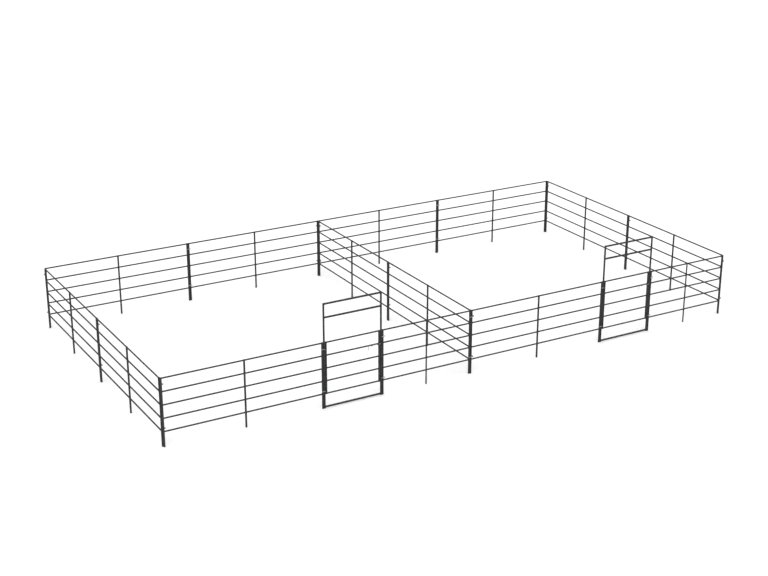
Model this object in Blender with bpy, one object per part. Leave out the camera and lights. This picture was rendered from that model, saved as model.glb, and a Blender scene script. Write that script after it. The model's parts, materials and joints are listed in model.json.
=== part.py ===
"""Two-stall livestock corral: welded tube panels, a divider and two walk-through bow gates.

Metres, +Z up. The origin is on the ground at the middle of the corral, X runs along the
rows and the gates are in the front row, at -Y. Every row is a string of welded units that
stand post against post. Each unit fills its stretch of the grid, and its end posts stand
back from the grid's points as far as their neighbours need. Each unit has eyes on its last
post and hooks on its first one, and a long loose link lies across the two posts of a joint,
round the eye of the one and over the hook of the other.
"""

import math

import bmesh
import bpy
from mathutils import Vector

# Plan: the grid's 12 ft bay, and the 4.5 ft between a gateway's posts
LONG_PANEL = 3.6576
GATE_UNIT = 1.3716
SHORT_PANEL = LONG_PANEL - GATE_UNIT
JOINT_GAP = 0.0008

# Tube. The sides are those of the polygons that stand for the round sections.
POST_OD = 0.0422
RAIL_OD = 0.0334
TUBE_SIDES = 8
BOW_POST_SIDES = 12
BOW_BAR_SIDES = 10

# Heights of the panels, the gates and the bow frames
PANEL_HEIGHT = 1.524
RAIL_COUNT = 5
RAIL_PITCH = 0.2921
BOW_HEIGHT = 2.396
CROSS_BAR_DROP = 0.304
SILL_Z = 0.034

# Room left where one piece rests on another, and depth that a welded end goes into its post
SEAT = 0.0003
ROOT = 0.005

# Joint hardware: a bent eye, a flat hook and the link that drops over the hook. On a panel the
# eye and the hook lean away from the joint; on a bow frame the gate passes, so they don't.
LUG_LEAN = 0.027
WIRE_OD = 0.008
WIRE_SIDES = 4
LINK_WIDTH = 0.0112
LINK_PLAY = 0.004
LINK_BELOW_TOP_RAIL = 0.133
LINK_ABOVE_LOW_RAIL = 0.072
EYE_HEADROOM = 0.006
HOOK_THICKNESS = 0.006
HOOK_WIDTH = 0.0065
HOOK_FOOT = 0.009
HOOK_RISE = 0.022

# Gate and hinge
GATE_GAP = 0.0023
HINGE_STANDOFF = 0.014
PIN_OD = 0.012
PIN_PLAY = 0.0003
PIN_HEAD_OD = 0.020
PIN_HEAD = 0.005
PIN_TAIL = 0.005
PIN_SIDES = 10
BARREL_OD = 0.021
BARREL_HEIGHT = 0.042
LEAF_THICKNESS = 0.007
EAR_RADIUS = 0.012
EAR_THICKNESS = 0.006
EAR_PLAY = 0.0005
HINGE_CLEAR = 0.020

# Slide bolt, its staples and the stop behind the gate
BOLT_OD = 0.014
BOLT_SIDES = 8
BOLT_THROW = 0.050
BOLT_BEND = 0.018
HANDLE_DROP = 0.095
BOLT_STANDOFF = 0.003
TIP_INSET = 0.003
STAPLE_PLAY = 0.0015
STAPLE_THICKNESS = 0.005
STAPLE_WIDTH = 0.022
STAPLE_FROM_UPRIGHT = 0.018
STAPLE_SPACING = 0.150
COLLAR_OD = 0.024
COLLAR_WIDTH = 0.008
STOP_OVERLAP = 0.012
STOP_HEIGHT = 0.060
STOP_THICKNESS = 0.006

# Side of each row that its links are on: the face that a panel turns to the viewer or the right
LINK_FACE = {"front": (0, -1, 0), "back": (0, -1, 0), "left": (1, 0, 0),
             "divider": (1, 0, 0), "right": (1, 0, 0)}

# Joints with their links on the other face: the back row's middle one, where the divider's last
# post stands in the way, and the back left corner
OTHER_FACE = (("back", 2), ("left", 3))

# Faces that meet at a smaller angle than this are shaded as one curve
SMOOTH_ANGLE = math.radians(50)

# Colours, as linear red, green and blue
CHARCOAL = (0.040, 0.042, 0.041)
ZINC = (0.52, 0.53, 0.53)

# Worked out from the sizes above
POST_R = POST_OD / 2
RAIL_R = RAIL_OD / 2
WIRE_R = WIRE_OD / 2
PIN_R = PIN_OD / 2
BOLT_R = BOLT_OD / 2
JOINT_PITCH = POST_OD + JOINT_GAP
GATE_PITCH = POST_OD + GATE_GAP
CORNER_STEP = JOINT_PITCH * math.sqrt(3) / 2
HALF_LENGTH = 2 * LONG_PANEL
HALF_DEPTH = LONG_PANEL
TOP_RAIL_Z = PANEL_HEIGHT - RAIL_R
RAIL_HEIGHTS = [TOP_RAIL_Z - k * RAIL_PITCH for k in range(RAIL_COUNT)]
LINK_HEIGHTS = {"lower": RAIL_HEIGHTS[-1] + LINK_ABOVE_LOW_RAIL,
                "upper": TOP_RAIL_Z - LINK_BELOW_TOP_RAIL}
LINK_SIDE = LINK_WIDTH / 2 + WIRE_R
LINK_REACH = POST_R + SEAT + LINK_SIDE + WIRE_R
EYE_LOW = WIRE_R + SEAT + WIRE_R
EYE_HIGH = EYE_LOW + EYE_HEADROOM
UP = Vector((0, 0, 1))


def polygon(radius, sides):
    """Corners of a round section, turned so that a flat faces along the first axis."""
    step = math.tau / sides
    return [(radius * math.cos((k + 0.5) * step), radius * math.sin((k + 0.5) * step))
            for k in range(sides)]


def frame_at(origin, first, second, third):
    """Function that turns (a, b, c) into a point along three directions from an origin."""
    origin, first, second, third = (Vector(v) for v in (origin, first, second, third))
    return lambda a, b, c: origin + first * a + second * b + third * c


def skin(bm, first, second):
    """Side faces between two rings of corners."""
    count = len(first)
    for k in range(count):
        after = (k + 1) % count
        bm.faces.new((first[k], first[after], second[after], second[k]))


def add_bar(bm, section, start, end, place):
    """Straight bar of a flat section; place turns (a, b, distance along it) into a point."""
    rings = [[bm.verts.new(place(a, b, along)) for a, b in section] for along in (start, end)]
    skin(bm, rings[0], rings[1])
    for ring in rings:
        bm.faces.new(ring)


def add_post(bm, x, low, high, od=POST_OD, sides=TUBE_SIDES):
    """Upright tube."""
    add_bar(bm, polygon(od / 2, sides), low, high, frame_at((x, 0, 0), (1, 0, 0), (0, 1, 0), UP))


def add_rail(bm, start, end, z, od=RAIL_OD, sides=TUBE_SIDES):
    """Level tube along the unit."""
    add_bar(bm, polygon(od / 2, sides), start, end, frame_at((0, 0, z), (0, 1, 0), UP, (1, 0, 0)))


def add_slab(bm, outline, thickness, place):
    """Flat plate, half of its thickness to each side of the plane of its outline."""
    add_bar(bm, outline, -thickness / 2, thickness / 2, place)


def add_bored_slab(bm, outline, radius, thickness, place):
    """Plate or sleeve with a hole at (0, 0) whose flats clear a rod of this radius."""
    facing = [Vector(point).normalized() for point in outline]
    widest = max(one.angle(other) for one, other in zip(facing, facing[1:] + facing[:1]))
    hole = [corner * (radius / math.cos(widest / 2)) for corner in facing]
    rings = [[bm.verts.new(place(a, b, depth)) for a, b in shape]
             for shape in (outline, hole) for depth in (-thickness / 2, thickness / 2)]
    outer_low, outer_high, inner_low, inner_high = rings
    skin(bm, outer_low, outer_high)
    skin(bm, inner_low, inner_high)
    skin(bm, outer_low, inner_low)
    skin(bm, outer_high, inner_high)


def add_wire(bm, path, radius, sides, closed, place):
    """Round wire bent along a flat path; place turns (a, b, off the plane) into a point."""
    points = [Vector(point) for point in path]
    last = len(points) - 1
    rings = []
    for k, point in enumerate(points):
        before = (point - points[k - 1]).normalized() if closed or k > 0 else None
        after = (points[(k + 1) % (last + 1)] - point).normalized() if closed or k < last else None
        before = before or after
        after = after or before
        mean = (before + after).normalized()
        side = Vector((-mean.y, mean.x))
        stretch = 1 / mean.dot(before)
        ring = []
        for j in range(sides):
            turn = math.tau * j / sides
            shifted = point + side * (radius * stretch * math.cos(turn))
            ring.append(bm.verts.new(place(shifted.x, shifted.y, radius * math.sin(turn))))
        rings.append(ring)
    for first, second in zip(rings, rings[1:]):
        skin(bm, first, second)
    if closed:
        skin(bm, rings[-1], rings[0])
    else:
        bm.faces.new(rings[0])
        bm.faces.new(rings[-1])


def paint(name, colour, roughness, metallic):
    """Material with one plain Principled shader."""
    material = bpy.data.materials.new(name)
    material.use_nodes = True
    shader = material.node_tree.nodes["Principled BSDF"]
    shader.inputs["Base Color"].default_value = (*colour, 1.0)
    shader.inputs["Roughness"].default_value = roughness
    shader.inputs["Metallic"].default_value = metallic
    material.diffuse_color = (*colour, 1.0)
    return material


def charcoal(name):
    """Baked charcoal paint of the panels, the frames and what is welded to them."""
    return paint(name, CHARCOAL, 0.45, 0.0)


def zinc(name):
    """Zinc plating of the links, the hinge pins and the bolts."""
    return paint(name, ZINC, 0.42, 1.0)


def add_object(name, bm, finish, origin=(0, 0, 0), turn=0.0, pivot=(0, 0, 0), parent=None):
    """Finish a mesh as a named object whose own origin is at the pivot."""
    bmesh.ops.recalc_face_normals(bm, faces=bm.faces)
    bmesh.ops.translate(bm, verts=bm.verts, vec=-Vector(pivot))
    mesh = bpy.data.meshes.new(name)
    bm.to_mesh(mesh)
    bm.free()
    mesh.materials.append(finish(name))
    mesh.shade_smooth()
    mesh.set_sharp_from_angle(angle=SMOOTH_ANGLE)
    part = bpy.data.objects.new(name, mesh)
    part.location = origin
    part.rotation_euler.z = turn
    part.parent = parent
    bpy.context.scene.collection.objects.link(part)
    return part


def weld(part, label, bm, **placed):
    """Join more tubes or fittings to a part, by a Boolean with a guide object."""
    guide = add_object(f"{part.name}_guide_{label}", bm, charcoal, **placed)
    guide.hide_render = True
    guide.display_type = "WIRE"
    joined = part.modifiers.new(label, "BOOLEAN")
    joined.operation = "UNION"
    joined.solver = "EXACT"
    joined.object = guide


def build_panel(unit, fittings):
    """Five-rail panel: two end posts and a middle stay down to the ground, and the rails."""
    first, last = unit["first"], unit["last"]
    posts = bmesh.new()
    for x, od in ((first, POST_OD), (unit["middle"], unit["stay"]), (last, POST_OD)):
        add_post(posts, x, 0.0, PANEL_HEIGHT, od)
    placed = {"origin": unit["start"], "turn": unit["turn"]}
    panel = add_object(unit["name"], posts, charcoal, **placed)
    rails = bmesh.new()
    for z in RAIL_HEIGHTS:
        add_rail(rails, first, last, z)
    weld(panel, "rails", rails, **placed)
    weld(panel, "fittings", fittings)


def add_eye(bm, post, lug, z):
    """Rod bent into an upright eye, from the post out to the lug's place round the link."""
    root, reach = POST_R - ROOT, lug.length
    path = [(root, -EYE_LOW), (reach, -EYE_LOW), (reach, EYE_HIGH), (root, EYE_HIGH)]
    towards = lug.normalized()
    add_wire(bm, path, WIRE_R, WIRE_SIDES, False,
             frame_at(post + UP * z, towards, UP, towards.cross(UP)))


def add_hook(bm, post, lug, z):
    """Flat hook on the post: a foot that the link rests on and a finger up through the link."""
    root, floor = POST_R - ROOT, -WIRE_R - SEAT
    inner, outer = lug.length - HOOK_WIDTH / 2, lug.length + HOOK_WIDTH / 2
    outline = [(root, floor - HOOK_FOOT), (outer, floor - HOOK_FOOT), (outer, HOOK_RISE),
               (inner, HOOK_RISE), (inner, floor), (root, floor)]
    towards = lug.normalized()
    add_slab(bm, outline, HOOK_THICKNESS, frame_at(post + UP * z, towards, UP, towards.cross(UP)))


def add_link(name, eye, hook, out):
    """Closed oval link, level, round the eye at one end and the hook at the other."""
    along = (hook - eye).normalized()
    finger = math.hypot(HOOK_THICKNESS, HOOK_WIDTH) / 2
    half = ((hook - eye).length + WIRE_R + finger + LINK_PLAY) / 2
    straight = half + WIRE_R - LINK_SIDE * math.cos(math.radians(30))
    right = [(straight + LINK_SIDE * math.cos(math.radians(a)), LINK_SIDE * math.sin(math.radians(a)))
             for a in (-90, -30, 30, 90)]
    path = right + [(-x, -y) for x, y in right]
    middle = (eye + hook + along * (finger - WIRE_R)) / 2
    link = bmesh.new()
    add_wire(link, path, WIRE_R, WIRE_SIDES, True, frame_at((0, 0, 0), along, out, UP))
    add_object(name, link, zinc, middle)


def hinge_heights():
    """Middles of the two hinges: just above the lower link and just below the upper one."""
    half = BARREL_HEIGHT / 2 + EAR_PLAY + EAR_THICKNESS + PIN_HEAD
    below = WIRE_R + SEAT + HOOK_FOOT
    return {"lower": LINK_HEIGHTS["lower"] + HOOK_RISE + HINGE_CLEAR + half,
            "upper": LINK_HEIGHTS["upper"] - below - HINGE_CLEAR - half}


def add_staple(bm, x, bolt_y, z, depth):
    """Strap bent round the bolt, its two ends this deep behind the bolt's middle."""
    inner = BOLT_R + STAPLE_PLAY
    outer = inner + STAPLE_THICKNESS
    outline = [(depth, -inner), (-inner, -inner), (-inner, inner), (depth, inner),
               (depth, outer), (-outer, outer), (-outer, -outer), (depth, -outer)]
    add_slab(bm, outline, STAPLE_WIDTH, frame_at((x, bolt_y, z), (0, 1, 0), UP, (1, 0, 0)))


def add_stop(bm, post, z):
    """Bar on the back of the latch post that the gate's upright closes against."""
    near = POST_R + SEAT
    far = near + STOP_THICKNESS
    root = POST_R - ROOT
    pad = POST_R / 3
    reach = post - GATE_PITCH - STOP_OVERLAP / 2
    outline = [(post + pad, root), (post + pad, far), (reach, far),
               (reach, near), (post - pad, near), (post - pad, root)]
    add_slab(bm, outline, STOP_HEIGHT, frame_at((0, 0, z), (1, 0, 0), (0, 1, 0), UP))


def gate_layout():
    """Places along a gateway: frame posts, gate uprights, hinge axis and slide bolt."""
    return {"post": 0.0, "far_post": GATE_UNIT,
            "hung": GATE_PITCH, "latched": GATE_UNIT - GATE_PITCH,
            "axis": Vector((GATE_PITCH / 2, -POST_R - HINGE_STANDOFF, 0)),
            "bolt_y": -POST_R - BOLT_STANDOFF - BOLT_R, "bolt_z": RAIL_HEIGHTS[1]}


def build_bow(unit, fittings):
    """Bow frame: two tall posts, header, cross bar, sill, hinge ears, keeper and stop."""
    at = gate_layout()
    header = BOW_HEIGHT - POST_R
    posts = bmesh.new()
    for x in (at["post"], at["far_post"]):
        add_post(posts, x, 0.0, BOW_HEIGHT, sides=BOW_POST_SIDES)
    placed = {"origin": unit["start"]}
    bow = add_object(unit["name"], posts, charcoal, **placed)
    bars = bmesh.new()
    for z in (header, header - CROSS_BAR_DROP, SILL_Z):
        add_rail(bars, at["post"], at["far_post"], z, POST_OD, BOW_BAR_SIDES)
    weld(bow, "bars", bars, **placed)

    # Each ear is a drop-shaped plate with the pin's hole in its nose.
    to_post = Vector((at["post"], 0, 0)) - at["axis"]
    towards = to_post.normalized()
    nose = [(EAR_RADIUS * math.cos(math.radians(a)), EAR_RADIUS * math.sin(math.radians(a)))
            for a in (90, 135, 180, 225, 270)]
    root = to_post.length - POST_R + ROOT
    ear = nose + [(root, -EAR_RADIUS), (root, 0), (root, EAR_RADIUS)]
    ears = bmesh.new()
    for z in hinge_heights().values():
        for side in (-1, 1):
            height = z + side * (BARREL_HEIGHT / 2 + EAR_PLAY + EAR_THICKNESS / 2)
            place = frame_at(at["axis"] + UP * height, towards, UP.cross(towards), UP)
            add_bored_slab(ears, ear, PIN_R + PIN_PLAY, EAR_THICKNESS, place)
    weld(bow, "ears", ears, **placed)

    catch = bmesh.new()
    add_staple(catch, at["far_post"], at["bolt_y"], at["bolt_z"], -at["bolt_y"] - POST_R + ROOT)
    add_stop(catch, at["far_post"], (RAIL_HEIGHTS[1] + RAIL_HEIGHTS[2]) / 2)
    weld(bow, "catch", catch, **placed)
    weld(bow, "fittings", fittings)


def build_gate(name, start):
    """Gate: two uprights, five rails, a barrel and leaf at each hinge, and the bolt's staples."""
    at = gate_layout()
    axis = bpy.data.objects.new(name + "_axis", None)
    axis.location = Vector(start) + at["axis"]
    axis.empty_display_type = "SINGLE_ARROW"
    bpy.context.scene.collection.objects.link(axis)
    hung_on = {"pivot": at["axis"], "parent": axis}

    uprights = bmesh.new()
    for x in (at["hung"], at["latched"]):
        add_post(uprights, x, RAIL_HEIGHTS[-1] - RAIL_R, PANEL_HEIGHT)
    gate = add_object(name, uprights, charcoal, **hung_on)
    rails = bmesh.new()
    for z in RAIL_HEIGHTS:
        add_rail(rails, at["hung"], at["latched"], z)
    weld(gate, "rails", rails, **hung_on)

    to_upright = Vector((at["hung"], 0, 0)) - at["axis"]
    towards = to_upright.normalized()
    wall = (BARREL_OD / 2 + PIN_R) / 2
    root = to_upright.length - POST_R + ROOT
    leaf = [(wall, -LEAF_THICKNESS / 2), (root, -LEAF_THICKNESS / 2),
            (root, LEAF_THICKNESS / 2), (wall, LEAF_THICKNESS / 2)]
    barrels, leaves = bmesh.new(), bmesh.new()
    for z in hinge_heights().values():
        place = frame_at(at["axis"] + UP * z, towards, UP.cross(towards), UP)
        add_bored_slab(barrels, polygon(BARREL_OD / 2, PIN_SIDES), PIN_R + PIN_PLAY,
                       BARREL_HEIGHT, place)
        add_slab(leaves, leaf, BARREL_HEIGHT - 2 * EAR_THICKNESS, place)
    weld(gate, "leaves", leaves, **hung_on)
    weld(gate, "barrels", barrels, **hung_on)

    near = at["latched"] - POST_R - STAPLE_FROM_UPRIGHT - STAPLE_WIDTH / 2
    far = near - STAPLE_SPACING
    guides = bmesh.new()
    for x in (near, far):
        add_staple(guides, x, at["bolt_y"], at["bolt_z"], -at["bolt_y"] - RAIL_R / 3)
    weld(gate, "staples", guides, **hung_on)
    build_bolt(name + "_bolt", at, far, axis)


def build_bolt(name, at, staple_x, parent):
    """Slide bolt, drawn back: a rod bent down into a handle, with a collar that keeps it in."""
    tip = at["latched"] + POST_R - TIP_INSET
    leg = staple_x - STAPLE_WIDTH / 2 - SEAT - BOLT_THROW - BOLT_BEND
    collar = staple_x + STAPLE_WIDTH / 2 + SEAT + COLLAR_WIDTH / 2
    bend = [(leg + BOLT_BEND * (1 - math.sin(math.radians(a))),
             BOLT_BEND * (math.cos(math.radians(a)) - 1)) for a in (0, 30, 60, 90)]
    middle = Vector((0, at["bolt_y"], at["bolt_z"]))
    own = Vector((tip, at["bolt_y"], at["bolt_z"]))
    placed = {"origin": own - at["axis"], "pivot": own, "parent": parent}
    rod = bmesh.new()
    add_wire(rod, [(tip, 0.0)] + bend + [(leg, -HANDLE_DROP)], BOLT_R, BOLT_SIDES, False,
             frame_at(middle, (1, 0, 0), UP, (0, 1, 0)))
    bolt = add_object(name, rod, zinc, **placed)
    ring = bmesh.new()
    add_bar(ring, polygon(COLLAR_OD / 2, BOLT_SIDES), collar - COLLAR_WIDTH / 2,
            collar + COLLAR_WIDTH / 2, frame_at(middle, (0, 1, 0), UP, (1, 0, 0)))
    weld(bolt, "collar", ring, **placed)


def build_hinge_pins(side, start):
    """Headed pins that hang the gate: one down through each hinge's ears and barrel."""
    at = gate_layout()
    ear_top = BARREL_HEIGHT / 2 + EAR_PLAY + EAR_THICKNESS
    shape = [(PIN_R, -ear_top - PIN_TAIL), (PIN_R, ear_top + SEAT),
             (PIN_HEAD_OD / 2, ear_top + SEAT), (PIN_HEAD_OD / 2, ear_top + PIN_HEAD)]
    for level, z in hinge_heights().items():
        pin = bmesh.new()
        rings = [[pin.verts.new((a, b, height)) for a, b in polygon(radius, PIN_SIDES)]
                 for radius, height in shape]
        for lower, upper in zip(rings, rings[1:]):
            skin(pin, lower, upper)
        pin.faces.new(rings[0])
        pin.faces.new(rings[-1])
        add_object(f"hinge_pin_{side}_{level}", pin, zinc, Vector(start) + at["axis"] + UP * z)


def set_back(names, number, neighbour, corner):
    """How far a unit's end post stands from the grid's point that it shares with a neighbour."""
    if names[number].startswith("bow"):
        return 0.0
    if neighbour not in range(len(names)):
        return corner
    return JOINT_PITCH if names[neighbour].startswith("bow") else JOINT_PITCH / 2


def plan_rows():
    """Units of every row in order, each with its place, turn, posts and lean of its lugs."""
    spans = {"front": {"panel_front_1": LONG_PANEL, "bow_left": GATE_UNIT,
                       "panel_front_2": SHORT_PANEL, "panel_front_3": LONG_PANEL,
                       "bow_right": GATE_UNIT, "panel_front_4": SHORT_PANEL},
             "back": {f"panel_back_{k}": LONG_PANEL for k in (1, 2, 3, 4)}}
    begins = {"front": (-HALF_LENGTH, -HALF_DEPTH, 0), "back": (-HALF_LENGTH, HALF_DEPTH, 0)}
    for row, x in (("left", -HALF_LENGTH), ("divider", 0), ("right", HALF_LENGTH)):
        spans[row] = {f"panel_{row}_{k}": LONG_PANEL for k in (1, 2)}
        begins[row] = (x, -HALF_DEPTH, 0)
    rows = {}
    for row, lengths in spans.items():
        across = row not in ("front", "back")
        turn = math.pi / 2 if across else 0.0
        corner = CORNER_STEP if across else JOINT_PITCH / 2
        along = Vector((math.cos(turn), math.sin(turn), 0))
        point = Vector(begins[row])
        names = list(lengths)
        rows[row] = []
        for k, (name, length) in enumerate(lengths.items()):
            rows[row].append({"name": name, "start": point, "turn": turn, "along": along,
                              "first": set_back(names, k, k - 1, corner),
                              "middle": length / 2,
                              "last": length - set_back(names, k, k + 1, corner),
                              "lean": 0.0 if name.startswith("bow") else LUG_LEAN,
                              "stay": RAIL_OD if length == SHORT_PANEL else POST_OD})
            point = point + along * length
    return rows


def plan_joints(rows):
    """Every joint: its row, the unit and end with the eyes, the unit and end with the hooks."""
    joints = [(row, unit, "last", following, "first")
              for row, units in rows.items() for unit, following in zip(units, units[1:])]
    # The side rows and the divider meet an end of a panel of the front row and of the back row.
    named = {unit["name"]: unit for units in rows.values() for unit in units}
    for row, number, end in (("left", 1, "first"), ("divider", 3, "first"), ("right", 4, "last")):
        joints.append((row, named[f"panel_front_{number}"], end, rows[row][0], "first"))
        joints.append((row, named[f"panel_back_{number}"], end, rows[row][-1], "last"))
    return joints


def main():
    for leftover in list(bpy.data.objects):
        bpy.data.objects.remove(leftover)
    rows = plan_rows()
    fittings = {unit["name"]: bmesh.new() for units in rows.values() for unit in units}
    numbers = {row: 0 for row in rows}
    for row, eye_unit, eye_end, hook_unit, hook_end in plan_joints(rows):
        eye_post = eye_unit["start"] + eye_unit["along"] * eye_unit[eye_end]
        hook_post = hook_unit["start"] + hook_unit["along"] * hook_unit[hook_end]
        along = (hook_post - eye_post).normalized()
        numbers[row] += 1
        out = Vector(LINK_FACE[row])
        if (row, numbers[row]) in OTHER_FACE:
            out = -out
        out = (out - along * out.dot(along)).normalized()
        eye_lug = out * LINK_REACH - along * eye_unit["lean"]
        hook_lug = out * LINK_REACH + along * hook_unit["lean"]
        for level, z in LINK_HEIGHTS.items():
            add_eye(fittings[eye_unit["name"]], eye_post, eye_lug, z)
            add_hook(fittings[hook_unit["name"]], hook_post, hook_lug, z)
            add_link(f"link_{row}_{numbers[row]}_{level}", eye_post + eye_lug + UP * z,
                     hook_post + hook_lug + UP * z, out)
    for units in rows.values():
        for unit in units:
            if unit["name"].startswith("bow"):
                side = unit["name"].removeprefix("bow_")
                build_bow(unit, fittings[unit["name"]])
                build_gate("gate_" + side, unit["start"])
                build_hinge_pins(side, unit["start"])
            else:
                build_panel(unit, fittings[unit["name"]])


if __name__ == "__main__":
    main()
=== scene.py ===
"""Two-stall livestock corral, dressed over its packed frame.

Round painted tubes with weld beads, bent eyes, flat hooks and zinc links, the gates' hinges
and slide bolts, and a plain white studio. Posts, links and pins are placed by the frame.
"""

import json
import math
from typing import NamedTuple

import bmesh
import bpy
from bpy.props import FloatProperty, FloatVectorProperty, IntProperty, PointerProperty
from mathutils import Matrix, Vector, noise


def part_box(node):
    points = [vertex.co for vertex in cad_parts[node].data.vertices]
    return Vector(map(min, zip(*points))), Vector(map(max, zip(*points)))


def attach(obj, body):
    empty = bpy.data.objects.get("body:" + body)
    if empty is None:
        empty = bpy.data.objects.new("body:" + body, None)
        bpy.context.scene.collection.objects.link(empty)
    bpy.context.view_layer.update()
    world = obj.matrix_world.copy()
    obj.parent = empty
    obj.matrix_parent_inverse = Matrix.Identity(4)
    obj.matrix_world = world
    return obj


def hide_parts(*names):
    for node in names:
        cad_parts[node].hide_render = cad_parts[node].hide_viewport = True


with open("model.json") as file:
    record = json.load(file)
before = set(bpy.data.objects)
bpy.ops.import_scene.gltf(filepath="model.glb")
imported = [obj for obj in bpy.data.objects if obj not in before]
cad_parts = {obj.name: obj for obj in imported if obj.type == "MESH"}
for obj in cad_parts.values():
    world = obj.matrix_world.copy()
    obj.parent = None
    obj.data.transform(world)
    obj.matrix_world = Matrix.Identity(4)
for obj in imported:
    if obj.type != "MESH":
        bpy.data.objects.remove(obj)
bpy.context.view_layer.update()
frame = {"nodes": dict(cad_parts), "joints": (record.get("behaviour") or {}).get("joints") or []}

bl_info = {
    "name": "Corral Stalls",
    "version": (1, 0, 0),
    "blender": (4, 5, 0),
    "location": "View3D > Sidebar > Corral",
    "description": "Dresses the packed livestock stalls with round tubes, welds and hardware",
    "category": "Object",
}

# Up, along the row with the gates, and from that row into the stalls
UP = Vector((0, 0, 1))
ALONG_FRONT = Vector((1, 0, 0))
INWARDS = Vector((0, 1, 0))
ROOT_BODY = "stall"
SIDES = ("left", "right")
LEVELS = ("lower", "upper")
BOLT_THROW = next(j["range_m"][1] for j in frame["joints"] if j["type"] == "slide")

# Finishes
PAINT = "charcoal powder coat"
WELD = "painted weld"
ZINC = "zinc plating"

# Darkest and palest tone of a finish, in shares of its colour, and its least and most roughness
PAINT_TONES = (0.66, 1.42)
PAINT_ROUGHNESS = (0.52, 0.68)
ZINC_TONES = (0.78, 1.12)
ZINC_ROUGHNESS = (0.30, 0.52)

# How much of the dust's colour a level upper face takes at most, and of the oxide's a worn patch
DUST_COVER = 0.22
OXIDE_COVER = 0.6

# Sides of a round section, and steps along the side of a hinge ear and of a hook's weld
TURNED_SIDES = 32
ROD_SIDES = 24
WIRE_SIDES = 16
BEAD_SIDES = 7
EAR_SIDE_STEPS = 4
SEAM_STEPS = 6

# Faces that meet at less than SMOOTH_ANGLE are shaded as one curve, and edges of the flat pieces
# that turn by more than EDGE_ANGLE are softened
SMOOTH_ANGLE = math.radians(35)
EDGE_ANGLE = math.radians(40)

# A CAD node's corners in its lowest FOOT_BAND are its posts' feet, and those that lie within
# POST_REACH of each other are of one post
FOOT_BAND = 0.0005
POST_REACH = 0.1

# Post: its foot's chamfer, and the groove under its cap and the cap's dome. The groove is given
# in cap heights below the top, and the dome by angles up from its rim, in degrees.
POST_LIP = 0.0012
CAP_GROOVE = (2.4, 2.2, 2.0)
CAP_DOME = (20, 40, 60, 75)

# Weld bead: its room under a post's top, in bead radii, how much its radius steps at every other
# ripple and wanders besides, and how many cells of noise lie in a metre of that wandering
BEAD_HEADROOM = 1.4
BEAD_STEP = 0.16
BEAD_WANDER = 0.25
BEAD_GRAIN = 90

# Depth that a lug, an ear or a leaf runs into its post, and room round what moves
WELDED_DEPTH = 0.004
BORE_PLAY = 0.0003
EAR_PLAY = 0.0005
STAPLE_PLAY = 0.0015

# Chamfer of the turned pieces, and how far the flat pieces' edges are softened
CHAMFER = 0.001
STRAP_EDGE = 0.0008
LEAF_EDGE = 0.0010
EAR_EDGE = 0.0006
HOOK_EDGE = 0.0009

# Straps: bends inside and outside, and how far short of the rail's middle a staple's ends stop
INNER_BEND = 0.003
OUTER_BEND = 0.007
STAPLE_SHORT = 0.006

# Keeper and stop, in shares of the latch post's radius: how far from its middle their roots lie,
# half of the width of the stop's pad, and how far the stop passes the middle of the gate's upright
STRAP_ROOT = 0.8
STOP_PAD = 0.33
STOP_LAP = 0.28

# Dome of a pin's head, as (inwards, downwards) from its top rim
HEAD_DOME = ((0.0, 0.002), (0.0012, 0.0008), (0.004, 0.0))

# Ends of a slide bolt, as (distance from the end, share of its radius), and the collar's bore as
# such a share
BOLT_TIP = ((0.0, 0.70), (0.0010, 0.90), (0.0025, 1.0))
HANDLE_END = ((0.005, 1.0), (0.0015, 0.8), (0.0, 0.35))
COLLAR_BORE = 0.9

# Coupling: bend of an eye, round heel of a hook, and a link's butt weld, as (place along the
# link, swell of the wire)
EYE_BEND = 0.0055
HEEL = 0.004
HEEL_CUT = 0.0012
BUTT_WELD = ((-0.004, 1.0), (-0.0022, 1.10), (0.0, 1.16), (0.0022, 1.10), (0.004, 1.0))

# Studio: half width of the floor, its place under the feet, its glow to the camera, the sun's
# spread and tilt, the width of the camera's sensor in millimetres, and how far the camera sees
FLOOR_REACH = 400.0
FLOOR_SINK = 0.0005
FLOOR_GLOW = 0.22
SUN_SPREAD = math.radians(50)
SUN_TILT = (math.radians(35), math.radians(-25), 0)
SENSOR_WIDTH = 36.0
SIGHT = 500.0


class Post(NamedTuple):
    """Upright tube of a panel, a bow frame or a gate"""

    foot: Vector
    radius: float


class TubeSizes(bpy.types.PropertyGroup):
    """Tubes of the panels, the bow frames and the gates"""

    rail_diameter: FloatProperty(
        name="Rail diameter", description="Outside diameter of a panel's rails",
        default=0.0334, min=0.01, unit="LENGTH")
    rail_count: IntProperty(
        name="Rails", description="Rails in a panel or a gate", default=5, min=1)
    rail_pitch: FloatProperty(
        name="Rail pitch", description="Height from one rail to the next",
        default=0.2921, min=0.05, unit="LENGTH")
    cross_bar_drop: FloatProperty(
        name="Cross bar drop", description="Height from a bow's cross bar to its header",
        default=0.304, min=0.05, unit="LENGTH")
    sill_height: FloatProperty(
        name="Sill height", description="Middle of a bow's sill above the ground",
        default=0.034, min=0.02, unit="LENGTH")
    weld_size: FloatProperty(
        name="Weld size", description="Radius of the bead round the end of a rail",
        default=0.0030, min=0.0005, unit="LENGTH")
    cap_height: FloatProperty(
        name="Cap height", description="Rise of the pressed cap on a post",
        default=0.0035, min=0.0005, unit="LENGTH")
    sides: IntProperty(
        name="Sides", description="Sides of a round tube", default=32, min=8)


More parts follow.
